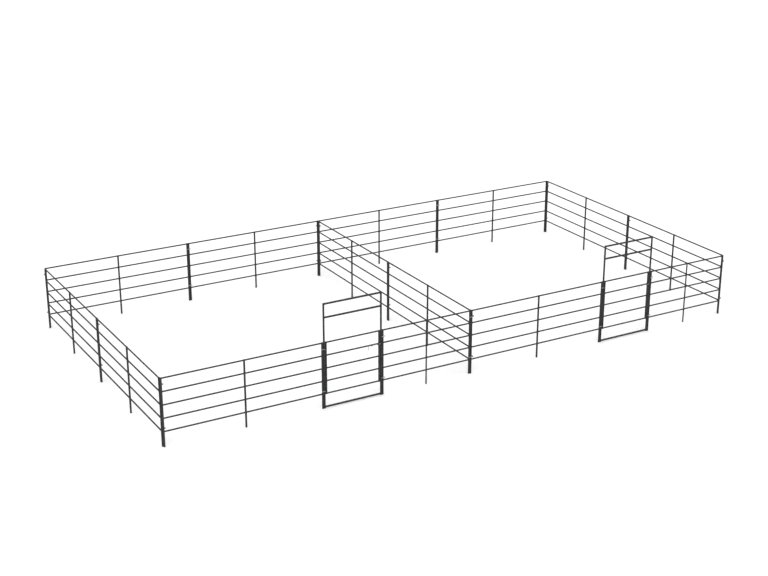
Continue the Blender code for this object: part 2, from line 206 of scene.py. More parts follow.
class HardwareSizes(bpy.types.PropertyGroup):
    """Couplings, hinges and slide bolts"""

    wire: FloatProperty(
        name="Link wire", description="Diameter of the wire of the links and the eyes",
        default=0.008, min=0.002, unit="LENGTH")
    link_width: FloatProperty(
        name="Link width", description="Inside width of a link", default=0.0112, unit="LENGTH")
    link_play: FloatProperty(
        name="Link play", description="Free travel of a link along itself",
        default=0.0013, min=0.0, unit="LENGTH")
    lug_lean: FloatProperty(
        name="Lug lean", description="How far a panel's eyes and hooks lean away from the joint",
        default=0.027, min=0.0, unit="LENGTH")
    seat: FloatProperty(
        name="Seat", description="Room left where one piece rests on another",
        default=0.0003, min=0.0, unit="LENGTH")
    hook_thickness: FloatProperty(
        name="Hook thickness", description="Thickness of a hook's plate", default=0.006, unit="LENGTH")
    hook_width: FloatProperty(
        name="Hook width", description="Width of a hook's finger", default=0.0065, unit="LENGTH")
    hook_foot: FloatProperty(
        name="Hook foot", description="Depth of the foot under the link", default=0.009, unit="LENGTH")
    hook_rise: FloatProperty(
        name="Hook rise", description="Top of the finger above the link's middle",
        default=0.022, unit="LENGTH")
    seam: FloatProperty(
        name="Seam", description="Radius of the bead round an eye's or a hook's root",
        default=0.0016, min=0.0005, unit="LENGTH")
    eye_headroom: FloatProperty(
        name="Eye headroom", description="Free height over the link inside its eye",
        default=0.006, unit="LENGTH")
    pin: FloatProperty(
        name="Hinge pin", description="Diameter of the hinge pins", default=0.012, unit="LENGTH")
    pin_head: FloatProperty(
        name="Pin head", description="Diameter of a hinge pin's head", default=0.020, unit="LENGTH")
    barrel: FloatProperty(
        name="Barrel", description="Outside diameter of a hinge barrel", default=0.021, unit="LENGTH")
    barrel_height: FloatProperty(
        name="Barrel height", description="Height of a hinge barrel", default=0.042, unit="LENGTH")
    leaf_thickness: FloatProperty(
        name="Leaf thickness", description="Thickness of a gate's hinge leaf",
        default=0.007, unit="LENGTH")
    ear_thickness: FloatProperty(
        name="Ear thickness", description="Thickness of a hinge ear", default=0.006, unit="LENGTH")
    ear_radius: FloatProperty(
        name="Ear radius", description="Radius of a hinge ear's nose", default=0.012, unit="LENGTH")
    bolt: FloatProperty(
        name="Slide bolt", description="Diameter of the slide bolts", default=0.014, unit="LENGTH")
    bolt_bend: FloatProperty(
        name="Bolt bend", description="Radius of the bend into the handle", default=0.018, unit="LENGTH")
    collar: FloatProperty(
        name="Collar", description="Diameter of a bolt's collar", default=0.024, unit="LENGTH")
    collar_width: FloatProperty(
        name="Collar width", description="Width of a bolt's collar", default=0.008, unit="LENGTH")
    staple_width: FloatProperty(
        name="Staple width", description="Width of a bolt's staples and keeper",
        default=0.022, unit="LENGTH")
    staple_thickness: FloatProperty(
        name="Staple thickness", description="Thickness of the staples' strap",
        default=0.005, unit="LENGTH")
    staple_spacing: FloatProperty(
        name="Staple spacing", description="Middle of one staple to the middle of the next",
        default=0.150, unit="LENGTH")
    stop_height: FloatProperty(
        name="Stop height", description="Height of the bar that a gate closes against",
        default=0.060, unit="LENGTH")
    stop_thickness: FloatProperty(
        name="Stop thickness", description="Thickness of the bar that a gate closes against",
        default=0.006, unit="LENGTH")


class FinishColours(bpy.types.PropertyGroup):
    """Colours of the finishes, in linear light"""

    charcoal: FloatVectorProperty(
        name="Charcoal", description="Baked paint of the tubes", subtype="COLOR",
        default=(0.037, 0.039, 0.038), min=0.0, max=1.0)
    dust: FloatVectorProperty(
        name="Dust", description="Fine dust on the upper faces", subtype="COLOR",
        default=(0.13, 0.125, 0.115), min=0.0, max=1.0)
    zinc: FloatVectorProperty(
        name="Zinc", description="Plating of the links, pins and bolts", subtype="COLOR",
        default=(0.42, 0.43, 0.44), min=0.0, max=1.0)
    oxide: FloatVectorProperty(
        name="Oxide", description="Grey film where the plating is worn", subtype="COLOR",
        default=(0.29, 0.30, 0.29), min=0.0, max=1.0)
    floor: FloatVectorProperty(
        name="Floor", description="Floor and backdrop", subtype="COLOR",
        default=(0.90, 0.90, 0.90), min=0.0, max=1.0)


class StudioSettings(bpy.types.PropertyGroup):
    """Camera and light"""

    camera_place: FloatVectorProperty(
        name="Camera", description="Place of the camera", subtype="TRANSLATION",
        default=(-16.6456, -28.8573, 13.4447))
    azimuth: FloatProperty(
        name="Azimuth", description="Angle of the view round the corral",
        default=math.radians(-29.8066), subtype="ANGLE")
    elevation: FloatProperty(
        name="Elevation", description="Angle of the view above the ground",
        default=math.radians(20.7218), subtype="ANGLE")
    lens: FloatProperty(
        name="Lens", description="Focal length on a sensor 36 mm wide",
        default=68.924, min=1.0, unit="CAMERA")
    key_strength: FloatProperty(
        name="Key light", description="Strength of the soft sun", default=0.6, min=0.0)
    sky_strength: FloatProperty(
        name="Sky light", description="Strength of the even white light", default=0.9, min=0.0)


def turned(bm, profile, start, axis, sides=TURNED_SIDES, closed=False):
    """Solid turned round an axis, from (radius, distance along it) points."""
    axis = axis.normalized()
    across = axis.orthogonal().normalized()
    over = axis.cross(across)
    rings = []
    for radius, along in profile:
        middle = start + axis * along
        if radius == 0:
            rings.append([bm.verts.new(middle)])
            continue
        rings.append([bm.verts.new(middle + (across * math.cos(a) + over * math.sin(a)) * radius)
                      for a in (math.tau * k / sides for k in range(sides))])
    pairs = list(zip(rings, rings[1:]))
    if closed:
        pairs.append((rings[-1], rings[0]))
    for first, second in pairs:
        for k in range(sides):
            after = (k + 1) % sides
            corners = [first[k % len(first)], first[after % len(first)],
                       second[after % len(second)], second[k % len(second)]]
            bm.faces.new(list(dict.fromkeys(corners)))


def swept(bm, path, radius, sides, normal, closed=False):
    """Round rod along a path; radius and normal are one value, or a list with one for each point."""
    count = len(path)
    radii = radius if isinstance(radius, list) else [radius] * count
    normals = normal if isinstance(normal, list) else [normal] * count
    rings = []
    for k, point in enumerate(path):
        before = path[k - 1] if closed or k > 0 else point
        after = path[(k + 1) % count] if closed or k < count - 1 else point
        tangent = (after - before).normalized()
        side = tangent.cross(normals[k]).normalized()
        over = side.cross(tangent)
        rings.append([bm.verts.new(point + (side * math.cos(a) + over * math.sin(a)) * radii[k])
                      for a in (math.tau * j / sides for j in range(sides))])
    pairs = list(zip(rings, rings[1:]))
    if closed:
        pairs.append((rings[-1], rings[0]))
    else:
        bm.faces.new(rings[0])
        bm.faces.new(rings[-1])
    for first, second in pairs:
        skin(bm, first, second)


def skin(bm, first, second):
    """Faces between two rings of as many corners."""
    for k in range(len(first)):
        after = (k + 1) % len(first)
        bm.faces.new((first[k], first[after], second[after], second[k]))


def plate(bm, outline, thickness, middle, first, second):
    """Flat plate whose outline is drawn along two directions round its middle."""
    across = first.cross(second) * (thickness / 2)
    back, front = [[bm.verts.new(middle + first * a + second * b + across * side) for a, b in outline]
                   for side in (-1, 1)]
    bm.faces.new(back)
    bm.faces.new(front)
    skin(bm, back, front)


def bored_plate(bm, outline, bore, thickness, middle, first, second):
    """Flat plate with a round hole at its middle, one corner of it for each of the outline."""
    across = first.cross(second) * (thickness / 2)
    hole = [Vector(corner).normalized() * bore for corner in outline]
    rings = [[bm.verts.new(middle + first * a + second * b + across * side) for a, b in shape]
             for shape, side in ((outline, -1), (outline, 1), (hole, 1), (hole, -1))]
    for one, other in zip(rings, rings[1:] + rings[:1]):
        skin(bm, one, other)


def rounded(points, radius, steps):
    """Open path with each corner between its ends replaced by an arc of this radius."""
    path = [points[0]]
    for before, corner, after in zip(points, points[1:], points[2:]):
        back = (before - corner).normalized()
        on = (after - corner).normalized()
        half = back.angle(on) / 2
        middle = corner + (back + on).normalized() * (radius / math.sin(half))
        first = corner + back * (radius / math.tan(half)) - middle
        last = corner + on * (radius / math.tan(half)) - middle
        path += [middle + first.slerp(last, j / steps) * radius for j in range(steps + 1)]
    return path + [points[-1]]


def arc(radius, start, end, steps, middle=(0.0, 0.0)):
    """Points of a flat arc, its angles in degrees."""
    angles = [math.radians(start + (end - start) * k / steps) for k in range(steps + 1)]
    return [(middle[0] + radius * math.cos(a), middle[1] + radius * math.sin(a)) for a in angles]


def circle(radius, count):
    """Points of a flat circle."""
    return arc(radius, 0, 360, count)[:-1]


def at_height(point, z):
    """The point right above or below another one, at a height."""
    return Vector((point.x, point.y, z))


def bent_strap(half, bend, depth, steps):
    """Three sides round a bolt, to this depth behind it, from the lower end to the upper one."""
    corner = half - bend
    return ([(depth, -half)] + arc(bend, -90, -180, steps, (-corner, -corner))
            + arc(bend, 180, 90, steps, (-corner, corner)) + [(depth, half)])


def add_staple(bm, middle, depth, tools):
    """Strap bent round a bolt, its ends this deep behind the bolt's middle."""
    inner = tools.bolt / 2 + STAPLE_PLAY
    outer = inner + tools.staple_thickness
    outline = (bent_strap(inner, INNER_BEND, depth, steps=4)
               + bent_strap(outer, OUTER_BEND, depth, steps=6)[::-1])
    plate(bm, outline, tools.staple_width, middle, INWARDS, UP)


def weld_bead(bm, post, z, out, shape, size, top=math.inf):
    """Rippled bead on a post's skin, round a shape drawn there as (sideways, up) from a height."""
    level = at_height(post.foot, z)
    radius = post.radius
    across = UP.cross(out)
    highest = top - level.z - BEAD_HEADROOM * size
    path, normals = [], []
    for sideways, up in shape:
        sideways = max(-radius, min(radius, sideways))
        depth = math.sqrt(radius * radius - sideways * sideways)
        outwards = out * depth + across * sideways
        path.append(level + outwards + UP * min(up, highest))
        normals.append(outwards.normalized())
    radii = [size * (1 + BEAD_STEP * (k % 2) + BEAD_WANDER * noise.noise(point * BEAD_GRAIN))
             for k, point in enumerate(path)]
    swept(bm, path, radii, BEAD_SIDES, normals, closed=True)


def shader_nodes(name):
    """New material, its node tree and its Principled shader."""
    material = bpy.data.materials.new(name)
    material.use_nodes = True
    tree = material.node_tree
    return material, tree, tree.nodes["Principled BSDF"]


def add_noise(tree, coordinates, scale, detail, roughness):
    """Noise texture on the given coordinates."""
    texture = tree.nodes.new("ShaderNodeTexNoise")
    texture.inputs["Scale"].default_value = scale
    texture.inputs["Detail"].default_value = detail
    texture.inputs["Roughness"].default_value = roughness
    tree.links.new(coordinates, texture.inputs["Vector"])
    return texture.outputs["Fac"]


def add_range(tree, source, span, to=(0.0, 1.0)):
    """Map Range from one span of values to another."""
    node = tree.nodes.new("ShaderNodeMapRange")
    for key, value in zip(("From Min", "From Max", "To Min", "To Max"), (*span, *to)):
        node.inputs[key].default_value = value
    tree.links.new(source, node.inputs["Value"])
    return node.outputs["Result"]


def add_math(tree, operation, first, second):
    """Math node on two sockets."""
    node = tree.nodes.new("ShaderNodeMath")
    node.operation = operation
    tree.links.new(first, node.inputs[0])
    tree.links.new(second, node.inputs[1])
    return node.outputs["Value"]


def add_mix(tree, factor, first, second):
    """Colour mix; a colour may be a socket or red, green and blue."""
    node = tree.nodes.new("ShaderNodeMix")
    node.data_type = "RGBA"
    tree.links.new(factor, node.inputs["Factor"])
    for key, colour in (("A", first), ("B", second)):
        socket = next(s for s in node.inputs if s.name == key and s.type == "RGBA")
        if isinstance(colour, bpy.types.NodeSocket):
            tree.links.new(colour, socket)
        else:
            socket.default_value = (*colour, 1.0)
    return next(s for s in node.outputs if s.type == "RGBA")


def add_bump(tree, shader, height, strength, distance):
    """Fine relief on a shader, its depth in metres."""
    bump = tree.nodes.new("ShaderNodeBump")
    bump.inputs["Strength"].default_value = strength
    bump.inputs["Distance"].default_value = distance
    tree.links.new(height, bump.inputs["Height"])
    tree.links.new(bump.outputs["Normal"], shader.inputs["Normal"])


def add_tones(tree, factor, colour, shares):
    """Colour that changes from its darkest tone to its palest one."""
    darkest, palest = [[min(1.0, channel * share) for channel in colour] for share in shares]
    return add_mix(tree, factor, darkest, palest)


def seen_by_camera(tree):
    """Socket that is one for a ray from the camera, also by way of gloss or through glass."""
    rays = tree.nodes.new("ShaderNodeLightPath")
    seen = rays.outputs["Is Camera Ray"]
    for kind in ("Is Glossy Ray", "Is Transmission Ray"):
        seen = add_math(tree, "MAXIMUM", seen, rays.outputs[kind])
    return seen


def powder_coat(colours, name, grain, depth):
    """Baked charcoal paint: slight mottle, orange peel, and dust on what faces up."""
    material, tree, shader = shader_nodes(name)
    place = tree.nodes.new("ShaderNodeTexCoord").outputs["Object"]
    mottle = add_noise(tree, place, scale=16.0, detail=9.0, roughness=0.74)
    cloud = add_range(tree, mottle, (0.36, 0.64))
    tone = add_tones(tree, cloud, colours.charcoal, PAINT_TONES)

    film = add_noise(tree, place, scale=55.0, detail=6.0, roughness=0.7)
    facing = tree.nodes.new("ShaderNodeSeparateXYZ")
    normal = tree.nodes.new("ShaderNodeNewGeometry").outputs["Normal"]
    tree.links.new(normal, facing.inputs["Vector"])
    upper = add_range(tree, facing.outputs["Z"], (0.25, 1.0), (0.0, DUST_COVER))
    dusty = add_mix(tree, add_math(tree, "MULTIPLY", upper, film), tone, colours.dust)
    tree.links.new(dusty, shader.inputs["Base Color"])

    rough = add_range(tree, film, (0.3, 0.7), PAINT_ROUGHNESS)
    tree.links.new(rough, shader.inputs["Roughness"])
    shader.inputs["Specular IOR Level"].default_value = 0.12
    peel = add_noise(tree, place, grain, detail=2.0, roughness=0.55)
    add_bump(tree, shader, peel, strength=0.55, distance=depth)
    material.diffuse_color = (*colours.charcoal, 1.0)
    return material


def zinc_plate(colours):
    """Dull zinc plating with a faint spangle and handling marks."""
    material, tree, shader = shader_nodes(ZINC)
    place = tree.nodes.new("ShaderNodeTexCoord").outputs["Object"]
    spangle = tree.nodes.new("ShaderNodeTexVoronoi")
    spangle.inputs["Scale"].default_value = 190.0
    tree.links.new(place, spangle.inputs["Vector"])
    cells = tree.nodes.new("ShaderNodeSeparateColor")
    tree.links.new(spangle.outputs["Color"], cells.inputs["Color"])
    metal = add_tones(tree, cells.outputs["Red"], colours.zinc, ZINC_TONES)

    smear = add_noise(tree, place, scale=60.0, detail=5.0, roughness=0.65)
    wear = add_range(tree, smear, (0.50, 0.75), (0.0, OXIDE_COVER))
    worn = add_mix(tree, wear, metal, colours.oxide)
    tree.links.new(worn, shader.inputs["Base Color"])

    rough = add_range(tree, smear, (0.3, 0.7), ZINC_ROUGHNESS)
    tree.links.new(rough, shader.inputs["Roughness"])
    shader.inputs["Metallic"].default_value = 0.9
    add_bump(tree, shader, smear, strength=0.3, distance=0.0001)
    material.diffuse_color = (*colours.zinc, 1.0)
    return material


def finish(name):
    """Material of a finish, made once; a weld's peel is coarser and deeper than a tube's."""
    colours = bpy.context.scene.corral_finish
    found = bpy.data.materials.get(name)
    if found:
        return found
    if name == ZINC:
        return zinc_plate(colours)
    if name == WELD:
        return powder_coat(colours, WELD, grain=260.0, depth=0.0007)
    return powder_coat(colours, PAINT, grain=420.0, depth=0.0004)


def add_piece(name, bm, finish_name, body, edge=0.0):
    """Object made from a mesh, with its finish, riding on its body."""
    bmesh.ops.recalc_face_normals(bm, faces=bm.faces)
    mesh = bpy.data.meshes.new(name)
    bm.to_mesh(mesh)
    bm.free()
    mesh.materials.append(finish(finish_name))
    mesh.shade_smooth()
    mesh.set_sharp_from_angle(angle=SMOOTH_ANGLE)
    piece = bpy.data.objects.new(name, mesh)
    bpy.context.scene.collection.objects.link(piece)
    if edge:
        soft = piece.modifiers.new("Soft edges", "BEVEL")
        soft.width = edge
        soft.segments = 3
        soft.limit_method = "ANGLE"
        soft.angle_limit = EDGE_ANGLE
        soft.harden_normals = True
    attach(piece, body)
    return piece


def middle_of(node):
    """Middle of a CAD node's box."""
    low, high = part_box(node)
    return (low + high) / 2


def units_in_order():
    """Panels and bow frames, row by row; a coupling's eye is on the earlier one of its pair."""
    rows = ((0, ("panel_front", "bow")), (0, ("panel_back",)), (1, ("panel_left",)),
            (1, ("panel_divider",)), (1, ("panel_right",)))
    units = []
    for axis, starts in rows:
        names = [name for name in frame["nodes"] if name.startswith(starts)]
        units += sorted(names, key=lambda name: middle_of(name)[axis])
    return units


def posts_of(node):
    """Uprights of a CAD node, from first to last."""
    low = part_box(node)[0].z
    groups = []
    for vertex in frame["nodes"][node].data.vertices:
        if vertex.co.z > low + FOOT_BAND:
            continue
        group = next((g for g in groups if (g[0] - vertex.co).length < POST_REACH), None)
        if group is None:
            groups.append([vertex.co.copy()])
        else:
            group.append(vertex.co.copy())
    posts = []
    for group in groups:
        nearest = Vector(min(co[i] for co in group) for i in range(3))
        furthest = Vector(max(co[i] for co in group) for i in range(3))
        foot = (nearest + furthest) / 2
        posts.append(Post(foot, max((co - foot).length for co in group)))
    return sorted(posts, key=lambda post: post.foot.x + post.foot.y)


def rail_heights(tubes):
    """Middles of the rails, from the top one down."""
    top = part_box("panel_front_1")[1].z - tubes.rail_diameter / 2
    return [top - k * tubes.rail_pitch for k in range(tubes.rail_count)]


def add_upright(bm, post, top, tubes):
    """Post with a softened foot and a pressed cap set in its top."""
    radius, cap = post.radius, tubes.cap_height
    height = top - post.foot.z
    low, deepest, high = (height - share * cap for share in CAP_GROOVE)
    foot = [(0, 0), (radius - POST_LIP, 0), (radius, POST_LIP)]
    groove = [(radius, low), (radius - POST_LIP / 2, deepest), (radius, high)]
    dome = [(radius * math.cos(a), height - cap * (1 - math.sin(a)))
            for a in map(math.radians, CAP_DOME)]
    profile = foot + groove + [(radius, height - cap)] + dome + [(0, height)]
    turned(bm, profile, post.foot, UP, tubes.sides)


def add_level_bar(bars, beads, posts, z, radius, top, tubes):
    """Tube through a row of uprights, with a weld bead wherever it meets one."""
    span = posts[-1].foot - posts[0].foot
    along, length = span.normalized(), span.length
    profile = [(0, 0), (radius, 0), (radius, length), (0, length)]
    turned(bars, profile, at_height(posts[0].foot, z), along, tubes.sides)
    ring = circle(radius, count=36)
    for post in posts:
        if post is not posts[0]:
            weld_bead(beads, post, z, -along, ring, tubes.weld_size, top)
        if post is not posts[-1]:
            weld_bead(beads, post, z, along, ring, tubes.weld_size, top)


def dress_tubes(node, body, heights, radius, tubes):
    """Uprights, level bars and welds of one panel, bow frame or gate; gives its posts."""
    posts = posts_of(node)
    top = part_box(node)[1].z
    tubing, beads = bmesh.new(), bmesh.new()
    for post in posts:
        add_upright(tubing, post, top, tubes)
    for z in heights:
        add_level_bar(tubing, beads, posts, z, radius, top, tubes)
    piece = add_piece(node + "_tubes", tubing, PAINT, body)
    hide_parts(node)
    add_piece(node + "_welds", beads, WELD, body)
    return posts


class CORRAL_OT_panels(bpy.types.Operator):
    """Round tubes, caps and welds of the panels"""

    bl_idname = "corral.panels"
    bl_label = "Dress Panels"

    def execute(self, context):
        tubes = context.scene.corral_tubes
        heights = rail_heights(tubes)
        for node in units_in_order():
            if node.startswith("panel"):
                dress_tubes(node, ROOT_BODY, heights, tubes.rail_diameter / 2, tubes)
        return {"FINISHED"}


class CORRAL_OT_bows(bpy.types.Operator):
    """Tall bow frames with header, cross bar, sill, keeper and stop"""

    bl_idname = "corral.bows"
    bl_label = "Dress Bow Frames"

    def execute(self, context):
        tubes, tools = context.scene.corral_tubes, context.scene.corral_hardware
        for side in SIDES:
            node = "bow_" + side
            radius = posts_of(node)[0].radius
            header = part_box(node)[1].z - radius
            heights = [header, header - tubes.cross_bar_drop, tubes.sill_height]
            latch_post = dress_tubes(node, ROOT_BODY, heights, radius, tubes)[-1]
            rails = rail_heights(tubes)
            self.add_keeper(side, latch_post, rails[1], tools)
            self.add_stop(side, latch_post, (rails[1] + rails[2]) / 2, tools)
        return {"FINISHED"}

    def add_keeper(self, side, post, z, tools):
        """Strap on the latch post that takes the bolt's end."""
        bolt_y = middle_of(f"gate_{side}_bolt").y
        depth = post.foot.y - bolt_y - post.radius * STRAP_ROOT
        keeper = bmesh.new()
        add_staple(keeper, Vector((post.foot.x, bolt_y, z)), depth, tools)
        add_piece(f"bow_{side}_keeper", keeper, PAINT, ROOT_BODY, STRAP_EDGE)

    def add_stop(self, side, post, z, tools):
        """Bar behind the latch post that the gate closes against."""
        gate_post = posts_of("gate_" + side)[-1]
        root, pad = post.radius * STRAP_ROOT, post.radius * STOP_PAD
        near = post.radius + tools.seat
        far = near + tools.stop_thickness
        reach = gate_post.foot.x - post.foot.x - post.radius * STOP_LAP
        outline = [(pad, root), (pad, far), (reach, far), (reach, near), (-pad, near), (-pad, root)]
        stop = bmesh.new()
        plate(stop, outline, tools.stop_height, at_height(post.foot, z), ALONG_FRONT, INWARDS)
        add_piece(f"bow_{side}_stop", stop, PAINT, ROOT_BODY, STRAP_EDGE)


class CORRAL_OT_gates(bpy.types.Operator):
    """Gates with their hinge barrels and the staples of their bolts"""

    bl_idname = "corral.gates"
    bl_label = "Dress Gates"

    def execute(self, context):
        tubes, tools = context.scene.corral_tubes, context.scene.corral_hardware
        heights = rail_heights(tubes)
        for side in SIDES:
            gate = "gate_" + side
            hung_post = dress_tubes(gate, gate, heights, tubes.rail_diameter / 2, tubes)[0]
            for level in LEVELS:
                middle = middle_of(f"hinge_pin_{side}_{level}")
                self.add_barrel(gate, level, middle, tools)
                self.add_leaf(gate, level, middle, hung_post, tools)
            self.add_staples(gate, hung_post.foot.y, heights[1], tools)
        return {"FINISHED"}

    def add_barrel(self, gate, level, middle, tools):
        """Sleeve round a hinge pin."""
        bore, outer = tools.pin / 2 + BORE_PLAY, tools.barrel / 2
        half, lip = tools.barrel_height / 2, CHAMFER / 2
        profile = [(bore, -half + lip), (bore + lip, -half), (outer - CHAMFER, -half),
                   (outer, -half + CHAMFER), (outer, half - CHAMFER), (outer - CHAMFER, half),
                   (bore + lip, half), (bore, half - lip)]
        barrel = bmesh.new()
        turned(barrel, profile, middle, UP, closed=True)
        add_piece(f"{gate}_barrel_{level}", barrel, PAINT, gate)

    def add_leaf(self, gate, level, middle, post, tools):
        """Flat leaf that carries a barrel on the gate's upright."""
        to_post = at_height(post.foot - middle, 0)
        towards = to_post.normalized()
        near = (tools.pin / 2 + BORE_PLAY + tools.barrel / 2) / 2
        far = to_post.length - post.radius + WELDED_DEPTH
        half = tools.leaf_thickness / 2
        outline = [(near, -half), (far, -half), (far, half), (near, half)]
        height = tools.barrel_height - 2 * tools.ear_thickness
        leaf = bmesh.new()
        plate(leaf, outline, height, middle, towards, UP.cross(towards))
        add_piece(f"{gate}_leaf_{level}", leaf, PAINT, gate, LEAF_EDGE)

    def add_staples(self, gate, rail_y, z, tools):
        """Two straps on a rail that the bolt slides in; its handle stops against the first one."""
        low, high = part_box(gate + "_bolt")
        bolt_y = (low.y + high.y) / 2
        first = (low.x + tools.bolt / 2 + tools.bolt_bend + BOLT_THROW + tools.seat
                 + tools.staple_width / 2)
        staples = bmesh.new()
        for x in (first, first + tools.staple_spacing):
            add_staple(staples, Vector((x, bolt_y, z)), rail_y - bolt_y - STAPLE_SHORT, tools)
        add_piece(gate + "_staples", staples, PAINT, gate, STRAP_EDGE)


class CORRAL_OT_hinges(bpy.types.Operator):
    """Hinge ears on the bow frames and the headed pins through them"""

    bl_idname = "corral.hinges"
    bl_label = "Dress Hinges"

    def execute(self, context):
        tools = context.scene.corral_hardware
        for side in SIDES:
            post = posts_of("bow_" + side)[0]
            for level in LEVELS:
                pin = f"hinge_pin_{side}_{level}"
                self.add_pin(pin, tools)
                self.add_ears(f"bow_{side}_ears_{level}", middle_of(pin), post, tools)
        return {"FINISHED"}

    def add_pin(self, node, tools):
        """Pin with a chamfered end and a domed head."""
        low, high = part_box(node)
        middle = (low + high) / 2
        foot, top = low.z - middle.z, high.z - middle.z
        seat = tools.barrel_height / 2 + EAR_PLAY + tools.ear_thickness + tools.seat
        radius, head = tools.pin / 2, tools.pin_head / 2
        shank = [(0, foot), (radius - CHAMFER, foot), (radius, foot + CHAMFER), (radius, seat)]
        rim = [(head - CHAMFER / 2, seat), (head, seat + CHAMFER / 2)]
        dome = [(head - inwards, top - down) for inwards, down in HEAD_DOME]
        pin = bmesh.new()
        turned(pin, shank + rim + dome + [(0, top)], middle, UP)
        piece = add_piece(node + "_turned", pin, ZINC, ROOT_BODY)
        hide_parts(node)

    def add_ears(self, name, middle, post, tools):
        """Pair of drop-shaped ears, bored for the pin."""
        to_post = at_height(post.foot - middle, 0)
        towards = to_post.normalized()
        nose, far = tools.ear_radius, to_post.length - post.radius + WELDED_DEPTH
        lower_side = [(far * (k + 1) / EAR_SIDE_STEPS, -nose) for k in range(EAR_SIDE_STEPS)]
        upper_side = [(along, -across) for along, across in reversed(lower_side)]
        outline = arc(nose, 90, 270, steps=16) + lower_side + [(far, 0.0)] + upper_side
        rise = tools.barrel_height / 2 + EAR_PLAY + tools.ear_thickness / 2
        ears = bmesh.new()
        for end in (-1, 1):
            bored_plate(ears, outline, tools.pin / 2 + BORE_PLAY, tools.ear_thickness,
                        middle + UP * (end * rise), towards, UP.cross(towards))
        add_piece(name, ears, PAINT, ROOT_BODY, EAR_EDGE)


class CORRAL_OT_bolts(bpy.types.Operator):
    """Slide bolts with their handles and collars"""

    bl_idname = "corral.bolts"
    bl_label = "Dress Slide Bolts"

    def execute(self, context):
        tools = context.scene.corral_hardware
        z = rail_heights(context.scene.corral_tubes)[1]
        for side in SIDES:
            node = f"gate_{side}_bolt"
            low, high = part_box(node)
            bolt_y = (low.y + high.y) / 2
            leg = low.x + tools.bolt / 2
            rod = bmesh.new()
            self.add_rod(rod, [Vector((high.x, bolt_y, z)), Vector((leg, bolt_y, z)),
                               Vector((leg, bolt_y, low.z))], tools)
            self.add_collar(rod, Vector((leg, bolt_y, z)), tools)
            piece = add_piece(node + "_rod", rod, ZINC, "bolt_" + side)
            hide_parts(node)
        return {"FINISHED"}

    def add_rod(self, bm, corners, tools):
        """Round rod from its tip, through the bend, down to the end of the handle."""
        tip, elbow, end = corners
        back = (elbow - tip).normalized()
        bend = rounded(corners, tools.bolt_bend, steps=10)[1:-1]
        path = ([tip + back * distance for distance, share in BOLT_TIP] + bend
                + [end + UP * distance for distance, share in HANDLE_END])
        shares = ([share for distance, share in BOLT_TIP] + [1.0] * len(bend)
                  + [share for distance, share in HANDLE_END])
        swept(bm, path, [tools.bolt / 2 * share for share in shares], ROD_SIDES, INWARDS)

    def add_collar(self, bm, elbow, tools):
        """Ring on the rod that meets the first staple when the bolt is drawn back."""
        bore, outer, width = tools.bolt / 2 * COLLAR_BORE, tools.collar / 2, tools.collar_width
        profile = [(bore, 0), (outer - CHAMFER, 0), (outer, CHAMFER), (outer, width - CHAMFER),
                   (outer - CHAMFER, width), (bore, width)]
        start = tools.bolt_bend + BOLT_THROW + 2 * tools.seat + tools.staple_width
        turned(bm, profile, elbow + ALONG_FRONT * start, ALONG_FRONT, closed=True)


